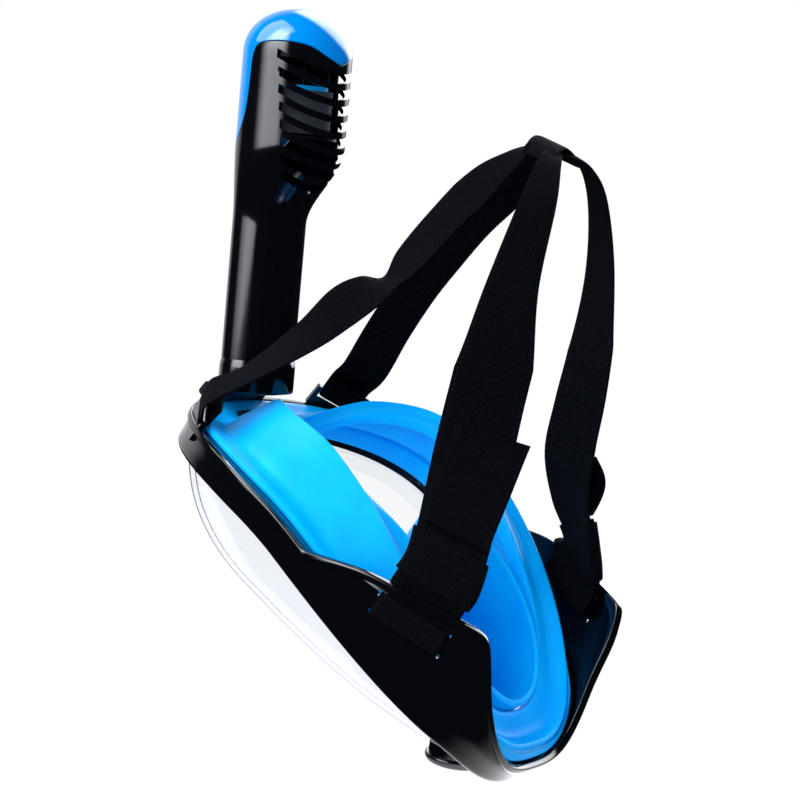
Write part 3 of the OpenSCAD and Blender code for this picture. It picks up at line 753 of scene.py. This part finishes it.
def shell_point(angle, z, inset):
    """Outer skin of the snorkel at an angle and height, shrunk by inset; in the snorkel frame."""
    u = smooth((z - FLARE_FROM) / (FLARE_TO - FLARE_FROM))
    lift = np.clip((z - TOP_Z + DOME_H) / (DOME_H - inset), 0, 1)
    k = np.sqrt(np.maximum(0, 1 - lift ** DOME_POWER))
    w = (mix(TUBE_W, HEAD_W, u) / 2 - inset) * k
    d = (mix(TUBE_D, HEAD_W, u) / 2 - inset) * k
    e = mix(TUBE_POWER, HEAD_POWER, u)
    c, s = np.cos(np.radians(angle)), np.sin(np.radians(angle))
    x = w * np.sign(c) * np.abs(c) ** e
    y = HEAD_Y * u + d * np.sign(s) * np.abs(s) ** e
    return np.stack(np.broadcast_arrays(x, y, z), -1)


def seam_loop():
    """The cover's edge once round the snorkel."""
    half = spline(SEAM, 10)
    other = np.column_stack([180 - half[-2:0:-1, 0], half[-2:0:-1, 1]])
    return np.concatenate([half, other])


def shell_rows(angles, start, end, rows, inset):
    """Rings of the skin at shares of the way from height start to height end."""
    return [shell_point(angles, mix(start, end, t), inset) for t in rows]


def seam_edge(angles, seam, side):
    """Rounded edge of a wall at the seam: side is 1 for the cover above it, -1 for the tube below it."""
    return [shell_point(angles, seam + side * up, inset) for up, inset in ((0.12, 0.35), (0.1, 0.9))]


def build_snorkel():
    loop = seam_loop()
    angles, seam = loop[:, 0], loop[:, 1]
    build_tube(angles, seam)
    build_cover(angles, seam)
    build_plug()


def build_tube(angles, seam):
    """Black tube with the rear half of the head, slotted."""
    foot = np.full_like(seam, SHELL_FOOT)
    up = np.linspace(0, 1, 90)
    rings = shell_rows(angles, foot, seam - SEAM_GAP, up, 0)
    rings += seam_edge(angles, seam, -1)
    rings += shell_rows(angles, foot, seam - 0.1, up[::-1], TUBE_WALL)
    body = loft("snorkel_body", on_tube(rings), looped=True)
    cut(body, grille_cutters())
    dress(body, "snorkel", "shell_black", "snorkel_tube")


def build_cover(angles, seam):
    """Blue front and cap of the head."""
    top = np.full_like(seam, TOP_Z - TIP)
    crown = 1 - (1 - np.linspace(0, 1, 60)) ** 2
    rings = shell_rows(angles, seam + SEAM_GAP, top, crown, 0)
    inner = shell_rows(angles, seam + 0.1, top - TUBE_WALL, crown[::-1], TUBE_WALL)
    edge = seam_edge(angles, seam, 1)[::-1]
    cover = loft("snorkel_cover", on_tube(rings + inner + edge), looped=True)
    dress(cover, "snorkel", "cover_blue", "snorkel_front_cover")


FLATNESS = TUBE_W - TUBE_D  # tube, plug and socket are all this much wider than deep


def flat_ring(w, d, z):
    outline = stadium(w, d)
    return np.column_stack([outline, np.full(len(outline), z)])


def build_plug():
    """The narrower foot of the tube that goes into the socket."""
    rings = [flat_ring(w, w - FLATNESS, z)
             for w, z in ((40, -3), (41, -2), (41, SHELL_FOOT - 0.1), (37, SHELL_FOOT), (37, -3))]
    plug = loft("snorkel_plug", on_tube(rings), looped=True)
    dress(plug, "snorkel", "shell_black")


SLOT_COUNT = 8
GRILLE_FROM, GRILLE_STEP, GRILLE_H, GRILLE_DROP = 112, 9.0, 5.2, 11
GRILLE_ENDS = (30, 14)  # angle from the side where the lowest and the highest slot start
GRILLE_IN, GRILLE_OUT, GRILLE_SLOPE = 14, 44, 2


def grille_cutter(low, start):
    """Curved wedge for one slot, sagging in the middle of the back and sloping down outwards."""
    a = np.linspace(start, 180 - start, 40)
    dip = GRILLE_DROP * (1 - np.sin(np.radians(a))) / (1 - math.sin(math.radians(GRILLE_ENDS[1])))
    rings = []
    for angle, z in zip(a, low - GRILLE_DROP * 0.35 + dip):
        c, s = math.cos(math.radians(angle)), math.sin(math.radians(angle))
        outer = z - GRILLE_SLOPE
        rings.append([[r * c, HEAD_Y + r * s, h] for r, h in
                      ((GRILLE_IN, z), (GRILLE_OUT, outer), (GRILLE_OUT, outer + GRILLE_H),
                       (GRILLE_IN, z + GRILLE_H))])
    return loft("slot", on_tube(rings), capped=True)


def grille_cutters():
    return [grille_cutter(GRILLE_FROM + GRILLE_STEP * k, mix(*GRILLE_ENDS, k / (SLOT_COUNT - 1)))
            for k in range(SLOT_COUNT)]


# ---- socket and release buttons ----
FOOT_W, FOOT_D, FOOT_LOW, FOOT_HIGH = 50, 9, -2.5, 8


def build_socket():
    """Cup that takes the snorkel's plug, and the foot that joins it to the frame."""
    w = tube_box("snorkel_socket")[1][0] * 2
    profile = rounded([(0, -8, 2.5), (0, SOCKET_TOP - 4, 0.5), (-0.85, SOCKET_TOP, 0.4),
                       (-3.2, SOCKET_TOP, 0.8), (-3.2, -5.5, 0.5)])
    rings = [flat_ring(w + 2 * n, w - FLATNESS + 2 * n, z) for n, z in profile]
    rings += [rings[-1] * [0.2, 0.2, 1], rings[0] * [0.2, 0.2, 1]]
    socket = loft("socket_cup", on_tube(rings), looped=True)
    dress(socket, "mask", "shell_black", "snorkel_socket")
    foot = box_between("socket_foot", [-FOOT_W / 2, 0, FOOT_LOW], [FOOT_W / 2, FOOT_D, FOOT_HIGH],
                       np.eye(3), [0, float(rear(BROW_Z)) + 3.9, BROW_Z], 2.0)
    dress(foot, "mask", "shell_black")


# ---- webbing ----
CROWN = np.array(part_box("crown_patch")).mean(0) / MM - [0, 2.8, 0.8]
LAYER = 2.2  # step from one layer of webbing to the next
WEB = 1.8  # thickness of the webbing
STRAP_W = 40
WEB_POINTS = 15  # points across each face of the webbing
EDGE_THINNING, EDGE_POWER = 0.45, 14  # the webbing is full to near its edges, then rounds off
EDGE_REACH = 1.012
SOFT_EDGE = 50  # webbing stays smooth over edges up to this many degrees


def at_wing(u, v):
    """Station (centre, width direction) at the slots: u out of the left wing, v across the slots."""
    return [on_face(SLOT_MID + u * U_DIR + v * V_DIR), -on_face(W_DIR)]


def at_tab(u, v):
    """Station at the left strap tab: u out of the brow, v back."""
    return [on_face(TAB_AT + u * TAB_OUT + v * np.array([0, 1, 0])), on_face(-TAB_ALONG)]


def course(stations, steps):
    """Smooth line through stations of (centre, width direction)."""
    line = spline(np.array([[c, w] for c, w in stations], float), steps)
    line[:, 1] = unit(line[:, 1])
    return line


def faces_of(line):
    """Direction out of the webbing's face at each station."""
    along = unit(np.gradient(line[:, 0], axis=0))
    return unit(np.cross(line[:, 1], along))


def run_of(line):
    """Length along the line up to each station."""
    return np.concatenate([[0], np.cumsum(np.linalg.norm(np.diff(line[:, 0], axis=0), axis=1))])


def shifted(line, d):
    """The line moved out of its face by d."""
    moved = line.copy()
    moved[:, 0] += d * faces_of(line)
    return moved


def web_outline(thick):
    """Section of the webbing as (share of half the width, height), once round."""
    side = np.linspace(-1, 1, WEB_POINTS)
    top = [(s, thick / 2 * (1 - EDGE_THINNING * abs(s) ** EDGE_POWER)) for s in side]
    return top + [(EDGE_REACH, 0)] + [(s, -h) for s, h in top[::-1]] + [(-EDGE_REACH, 0)]


def ribbon(name, line, width, thick, gather=None):
    """Band of webbing along a line; gather is its share of the width at each station."""
    share = np.ones(len(line)) if gather is None else gather
    face, run = faces_of(line), run_of(line)
    outline = web_outline(thick)
    rings, weave, across = [], [], []
    for k in range(len(line)):
        half = width / 2 * share[k]
        rings.append([line[k, 0] + s * half * line[k, 1] + h * face[k] for s, h in outline])
        weave += [(run[k], s * width / 2) for s, _ in outline]
        across += [(run[k], s) for s, _ in outline]
    band = loft(name, rings, capped=True, angle=SOFT_EDGE)
    paint_uv(band, "weave", weave)
    paint_uv(band, "across", across)
    return band


# Stations (centre, width direction) of the free webbing, drawn for the left side: used webbing hangs
# a little differently on each side.
LOWER_COURSE = {
    LEFT: [(at_wing(-15, 30)[0], at_wing(0, 0)[1]), ((60, 104, 58), (-0.4, 0.84, -0.37)),
           ((52, 111, 102), (-0.55, 0.83, -0.11)), ((49, 118, 133), (-0.55, 0.83, -0.05)),
           ((44, 124, 169), (-0.55, 0.83, 0)), ((32, 132, 211), (-0.5, 0.85, -0.12)),
           ((17, 130.5, 233), (-0.3, 0.86, -0.4))],
    RIGHT: [((67, 102, 29), (-0.62, 0.75, 0)), ((60, 100, 53), (-0.5, 0.83, 0.13)),
            ((54, 103, 80), (-0.3, 0.95, 0.05)), ((51, 111, 108), (-0.31, 0.95, 0.04)),
            ((48, 120, 142), (-0.43, 0.9, 0.04)), ((42, 128, 182), (-0.5, 0.86, 0.04)),
            ((30, 132.5, 217), (-0.5, 0.85, -0.1)), ((17, 131, 234.5), (-0.3, 0.86, -0.4))],
}
UPPER_COURSE = {
    LEFT: [((57, -35, 122), (-0.66, -0.68, 0.3)), ((44, -6, 142), (-0.46, -0.71, 0.54)),
           ((34, 11, 158), (-0.2, -0.59, 0.79)), ((28, 25, 167), (-0.36, -0.7, 0.61)),
           ((24.5, 37, 172), (-0.62, -0.76, 0.2)), ((21.5, 47, 184), (-0.42, -0.83, 0.37)),
           ((17, 64, 203), (-0.34, -0.86, 0.38)), ((12.5, 89, 226), (-0.32, -0.79, 0.52)),
           ((9.5, 106, 238), (-0.45, -0.84, 0.3))],
    RIGHT: [((54, -33, 122), (-0.55, -0.76, 0.34)), ((47, -13, 144), (-0.68, -0.66, 0.3)),
            ((35, 13, 167), (-0.75, -0.55, 0.35)), ((28, 34, 185), (-0.7, -0.6, 0.38)),
            ((22, 57, 204), (-0.62, -0.68, 0.38)), ((15, 86, 223), (-0.6, -0.7, 0.38)),
            ((10, 106, 238), (-0.6, -0.75, 0.28))],
}
LOWER_STEPS, UPPER_STEPS, LOOP_STEPS = 12, 10, 5
RETURN_FROM = 14  # station of the main layer where the returned layer begins
SLEEVE = (26, 42)  # stations of the keeper sleeve on the main layer
TAB = (43, 59)  # stations of the hook-tape end
LOWER_GATHER, UPPER_GATHER = (50, 0.25), (24, 0.5)  # stations gathered at the crown, least share of width
TAB_SLIP, TAB_TILT, TAB_LOOP = 8, 0.16, 9
# Way round the bar between the slots, as at_wing takes it
UNDER_BAR = ((-6.1, 8.4), (-4, 6.4), (-1, 6.1), (1.2, 6), (3.1, 4), (3.5, 0), (3.1, -4), (1.3, -6),
             (-2, -6.2), (-5.2, -5.4), (-7.4, -2.4))


def lower_line(side):
    """Main layer of a lower strap, from the wing up to the crown, drawn for the left side."""
    low = [at_wing(-8, 4), at_wing(-8.6, 9), at_wing(-11.4, 17)]
    top = [(CROWN + [1, 5, -2.7], unit([-0.05, 0.86, -0.5]))]
    return course(low + LOWER_COURSE[side] + top, LOWER_STEPS)


def gathered(count, over, least):
    """Share of the width at each station: the last ones are gathered into the seam at the crown."""
    left = np.arange(count)[::-1] / over
    return mix(least, 1, np.minimum(1, left) ** 1.6)


def hook_end(outer, side):
    """The loose end: slid a little sideways on the left, standing off in a loop on the right."""
    line = outer[TAB[0]:TAB[1]].copy()
    t = np.linspace(0, 1, len(line))[:, None]
    if side == LEFT:
        line[:, 0] += TAB_SLIP * t ** 1.3 * line[:, 1]
        line[:, 1] = unit(line[:, 1] - TAB_TILT * t ** 2 * unit(line[-1:, 0] - line[:1, 0]))
    else:
        line[:, 0] += TAB_LOOP * np.sin(math.pi * t ** 0.9) * faces_of(line)
    return line


def build_lower_straps():
    """Doubled webbing: down to the wing, round the bar between its slots, back up under the sleeve."""
    under = [at_wing(*uv) for uv in UNDER_BAR]
    for name, side in SIDES.items():
        main = lower_line(side)
        outer = shifted(main, LAYER)
        returned = outer[SLEEVE[1]:RETURN_FROM:-1]
        turn = course([list(returned[-1])] + under + [list(main[0])], LOOP_STEPS)[1:-1]
        line = np.concatenate([returned, turn, main])
        strap = ribbon("lower_strap_web_" + name, mirrored(line, side), STRAP_W, WEB,
                       gathered(len(line), *LOWER_GATHER))
        dress(strap, "mask", "webbing", "lower_strap_" + name)
        tab = ribbon("hook_end_" + name, mirrored(hook_end(outer, side), side), STRAP_W - 1, WEB)
        dress(tab, "hook_tab_" + name, "hook_tape", "hook_tab_" + name)
        build_sleeve(name, side, shifted(main, LAYER / 2)[SLEEVE[0]:SLEEVE[1]])


def build_sleeve(name, side, line):
    """Flat tube of webbing round both layers."""
    line = mirrored(line, side)
    face, run = faces_of(line), run_of(line)
    outer = stadium(STRAP_W + 4.2, 2 * LAYER + 2.6, 10)
    inner = stadium(STRAP_W + 1.6, 2 * LAYER + 0.4, 10)
    up = range(len(line))
    rings, weave, across = [], [], []
    for outline, stations in ((outer, up), (inner, up[::-1])):
        for k in stations:
            rings.append([line[k, 0] + a * line[k, 1] + b * face[k] for a, b in outline])
            weave += [(a, run[k]) for a, _ in outline]
            across += [(a, mix(-1.1, 1.1, run[k] / run[-1])) for a, _ in outline]
    sleeve = loft("keeper_" + name, rings, looped=True, angle=SOFT_EDGE)
    paint_uv(sleeve, "weave", weave)
    paint_uv(sleeve, "across", across)
    dress(sleeve, "mask", "webbing", "keeper_sleeve_" + name)


def build_upper_straps():
    """Narrower webbing, folded through the tab's slot and run up to the crown."""
    slot_v = TAB_L - TAB_BAR - 1.8
    loop = [at_tab(-4, TAB_L + 9), at_tab(-3.2, TAB_L), at_tab(-2.4, slot_v + 1.4), at_tab(-1, slot_v),
            at_tab(1, slot_v), at_tab(2.4, slot_v + 1.4), at_tab(2.8, TAB_L), at_tab(4, TAB_L + 9)]
    top = [(CROWN + [8, -5, 0.5], unit([-1, 0, 0.1]))]
    for name, side in SIDES.items():
        line = course(loop + UPPER_COURSE[side] + top, UPPER_STEPS)
        strap = ribbon("upper_strap_web_" + name, mirrored(line, side), UPPER_W, WEB,
                       gathered(len(line), *UPPER_GATHER))
        dress(strap, "mask", "webbing", "upper_strap_" + name)


def build_crown():
    """Short piece of webbing sewn over the ends of the four straps."""
    across = unit([0, 0.9, -0.4])
    stations = [(CROWN + [x, 2, 1.6 - x * x / 26], across) for x in (-15, -9, -4, 0, 4, 9, 15)]
    patch = ribbon("crown_join", course(stations, LOOP_STEPS), 19, 1.6)
    dress(patch, "mask", "webbing", "crown_patch")


# ---- CAD pieces shown as they are ----
def dress_cad():
    slots = {s["node"]: s["material_slot"] for s in record["subparts"]}
    for node, obj in frame["nodes"].items():
        obj.data.materials.clear()
        obj.data.materials.append(MATERIALS[slots[node]])


# ---- light, floor and camera ----
KEY_POWER, KEY_SIZE, KEY_AWAY = 13, (1.0, 1.0), 1.2  # watts and metres
FRONT_POWER, FRONT_SIZE, FRONT_AWAY = 11, (0.9, 0.9), 1.5
FILL_COLOUR, FILL_STRENGTH = (0.5, 0.74, 1, 1), 0.92
COOL_WHITE = (0.93, 0.96, 1, 1)
DARK_ROOM = 0.012  # what reflections see between the soft boxes
FLOOR_GLOW = 1.04
FLOOR_PATCH = (-0.02, 0.085, -0.094)  # middle of the bright patch of floor, in metres
FLOOR_SIZE, FLOOR_GAP = 6000, 0.5
AZIMUTH, ELEVATION = 123.55, 2.59
DISTANCE = 1.2847
SENSOR, FOCAL = 36, 105.2
AIM_RIGHT, AIM_UP = 7.2, -8.4  # the camera aims this far from the middle of the object


def soft_light(name, direction, distance, size, power, aim, seen=True):
    """Soft box aimed at a point; one that isn't seen shows in no reflection."""
    light = bpy.data.lights.new(name, "AREA")
    light.shape = "RECTANGLE"
    light.size, light.size_y = size
    light.energy = power
    obj = bpy.data.objects.new(name, light)
    obj.location = aim + Vector(direction).normalized() * distance
    obj.rotation_mode = "QUATERNION"
    obj.rotation_quaternion = (aim - obj.location).to_track_quat("-Z", "Y")
    obj.visible_glossy = seen
    bpy.context.scene.collection.objects.link(obj)


# Soft boxes seen only in reflections, as (direction, half angle, softness in degrees, strength)
REFLECTORS = (
    ((-0.58, -0.79, 0.19), 22, 22, 0.9),  # backdrop, behind and to the left
    ((-0.83, 0.05, 0.55), 24, 12, 8.0),  # backdrop, high behind: lights the rear edges
)
SIDE_AZIMUTH = 17  # tall box beside the camera, degrees in front of +X
SIDE_WIDTH = 13
SIDE_STRENGTH = 5.5


def window(n, value, low, high, soft):
    """One where value lies between low and high, fading over soft on both sides."""
    up = n.add("ShaderNodeMapRange", _interpolation_type="SMOOTHSTEP", i0=value,
               i1=low - soft, i2=low)
    down = n.add("ShaderNodeMapRange", _interpolation_type="SMOOTHSTEP", i0=value,
                 i1=high, i2=high + soft, i3=1.0, i4=0.0)
    return n.math("MULTIPLY", up.outputs[0], down.outputs[0])


def mirror_light(n):
    """Brightness of the studio as reflections see it: dark, with soft boxes."""
    look = n.add("ShaderNodeTexCoord").outputs["Generated"]
    total = DARK_ROOM
    for direction, half, soft, strength in REFLECTORS:
        facing = n.add("ShaderNodeVectorMath", _operation="DOT_PRODUCT", i0=look,
                       i1=tuple(unit(direction))).outputs["Value"]
        low, high = (math.cos(math.radians(a)) for a in (half + soft, half))
        lobe = n.add("ShaderNodeMapRange", _interpolation_type="SMOOTHSTEP", i0=facing, i1=low, i2=high)
        total = n.math("MULTIPLY_ADD", lobe.outputs[0], strength, total)
    parts = n.add("ShaderNodeSeparateXYZ", Vector=look).outputs
    turn = n.math("ARCTAN2", parts[1], parts[0])
    middle, half = -math.radians(SIDE_AZIMUTH), math.radians(SIDE_WIDTH)
    across = window(n, turn, middle - half, middle + half, 0.3)
    upright = window(n, parts[2], -0.08, 0.7, 0.3)
    box = n.math("MULTIPLY", across, upright)
    rise = n.math("MULTIPLY_ADD", parts[2], 2.0 * SIDE_STRENGTH, SIDE_STRENGTH)
    return n.math("MULTIPLY_ADD", box, rise, total)


def build_world():
    """White to the camera, a cool even fill for diffuse light, dark with soft boxes in reflections."""
    world = bpy.data.worlds.new("studio")
    bpy.context.scene.world = world
    world.use_nodes = True
    n = Nodes(world.node_tree)
    path = n.add("ShaderNodeLightPath")
    seen = n.add("ShaderNodeBackground", Color=(1, 1, 1, 1), Strength=1.0)
    mirror = n.add("ShaderNodeBackground", Color=COOL_WHITE, Strength=mirror_light(n))
    fill = n.add("ShaderNodeBackground", Color=FILL_COLOUR, Strength=FILL_STRENGTH)
    inner = n.add("ShaderNodeMixShader", i0=path.outputs["Is Glossy Ray"], i1=fill.outputs[0],
                  i2=mirror.outputs[0])
    outer = n.add("ShaderNodeMixShader", i0=path.outputs["Is Camera Ray"], i1=inner.outputs[0],
                  i2=seen.outputs[0])
    n.add("ShaderNodeOutputWorld", Surface=outer.outputs[0])


def floor_surface(n):
    """Pale floor: it runs into the white backdrop for the camera, and gives back soft light from below."""
    path = n.add("ShaderNodeLightPath")
    pale = n.add("ShaderNodeBsdfDiffuse", Color=(0.8, 0.82, 0.86, 1))
    glow = n.add("ShaderNodeEmission", Color=(1, 1, 1, 1), Strength=FLOOR_GLOW)
    seen = n.add("ShaderNodeMixShader", i0=0.97, i1=pale.outputs[0], i2=glow.outputs[0])
    dim = n.add("ShaderNodeEmission", Color=COOL_WHITE, Strength=mirror_light_below(n))
    inner = n.add("ShaderNodeMixShader", i0=path.outputs["Is Glossy Ray"], i1=pale.outputs[0],
                  i2=dim.outputs[0])
    return n.add("ShaderNodeMixShader", i0=path.outputs["Is Camera Ray"], i1=inner.outputs[0],
                 i2=seen.outputs[0])


def mirror_light_below(n):
    """The floor as reflections see it: bright in one soft patch behind the chin."""
    place = n.add("ShaderNodeTexCoord").outputs["Object"]
    away = n.add("ShaderNodeVectorMath", _operation="DISTANCE", i0=place, i1=FLOOR_PATCH)
    patch = n.add("ShaderNodeMapRange", _interpolation_type="SMOOTHSTEP", i0=away.outputs["Value"],
                  i1=0.03, i2=0.095, i3=3.2, i4=0.01)
    return patch.outputs[0]


def build_floor():
    z = cad_low.z / MM - FLOOR_GAP
    points = [(x * FLOOR_SIZE, y * FLOOR_SIZE, z) for x, y in ((-1, -1), (1, -1), (1, 1), (-1, 1))]
    floor = add_object("floor", points, [[0, 1, 2, 3]])
    floor.data.materials.append(material("floor", floor_surface))


def build_camera():
    """Camera at the photo's angle; returns its aim and its directions right, up and back."""
    a, e = math.radians(AZIMUTH), math.radians(ELEVATION)
    back = Vector((math.sin(a) * math.cos(e), -math.cos(a) * math.cos(e), math.sin(e)))
    right = Vector((math.cos(a), math.sin(a), 0))
    up = back.cross(right)
    aim = (cad_low + cad_high) / 2 + right * AIM_RIGHT * MM + up * AIM_UP * MM
    data = bpy.data.cameras.new("camera")
    data.sensor_width = SENSOR
    data.lens = FOCAL
    camera = bpy.data.objects.new("camera", data)
    camera.rotation_mode = "QUATERNION"
    camera.location = aim + back * DISTANCE
    camera.rotation_quaternion = (-back).to_track_quat("-Z", "Y")
    bpy.context.scene.collection.objects.link(camera)
    bpy.context.scene.camera = camera
    return aim, right, up, back


def build_studio():
    build_world()
    build_floor()
    aim, right, up, back = build_camera()
    key_from = back * 0.19 + up * 0.8 - right * 0.57
    front_from = back * 0.9 + up * 0.35 - right * 0.25
    soft_light("key", key_from, KEY_AWAY, KEY_SIZE, KEY_POWER, aim)
    soft_light("front", front_from, FRONT_AWAY, FRONT_SIZE, FRONT_POWER, aim, seen=False)
    bpy.context.scene.view_settings.view_transform = "Standard"


dress_cad()
build_frame()
build_tabs()
build_lens()
build_drain_cover()
build_skirt()
build_pocket()
build_ducts()
build_snorkel()
build_socket()
build_lower_straps()
build_upper_straps()
build_crown()
build_studio()
